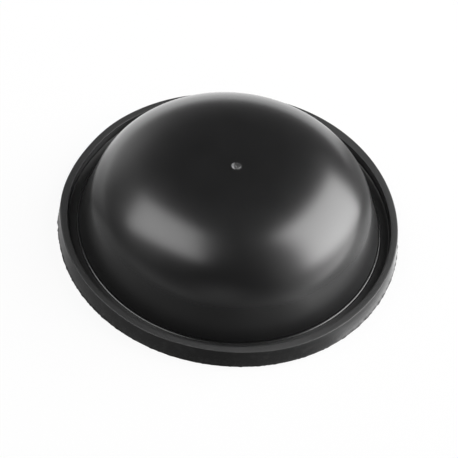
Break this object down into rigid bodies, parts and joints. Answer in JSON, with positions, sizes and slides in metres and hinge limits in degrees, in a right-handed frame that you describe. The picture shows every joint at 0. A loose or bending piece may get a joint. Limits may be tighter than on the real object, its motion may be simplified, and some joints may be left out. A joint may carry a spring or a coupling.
{
  "type": "diaphragm seal",
  "caption": "Round moulded rubber seal: a hollow dome with a broad crown, a rounded shoulder and a sloping side, set in a flat flange with a groove and an upright rim.",
  "frame": {"origin": "centre of the flat sealing face, on the dome's axis", "axes": "+Z is the dome's axis and points out of the crown; the part is round, so X and Y are any two directions in the sealing face"},
  "size_m": [0.1004, 0.1004, 0.0301],
  "materials": {
    "rubber": "satin black moulded rubber"
  },
  "bodies": {
    "root": {"diaphragm": "rubber"}
  },
  "joints": []
}
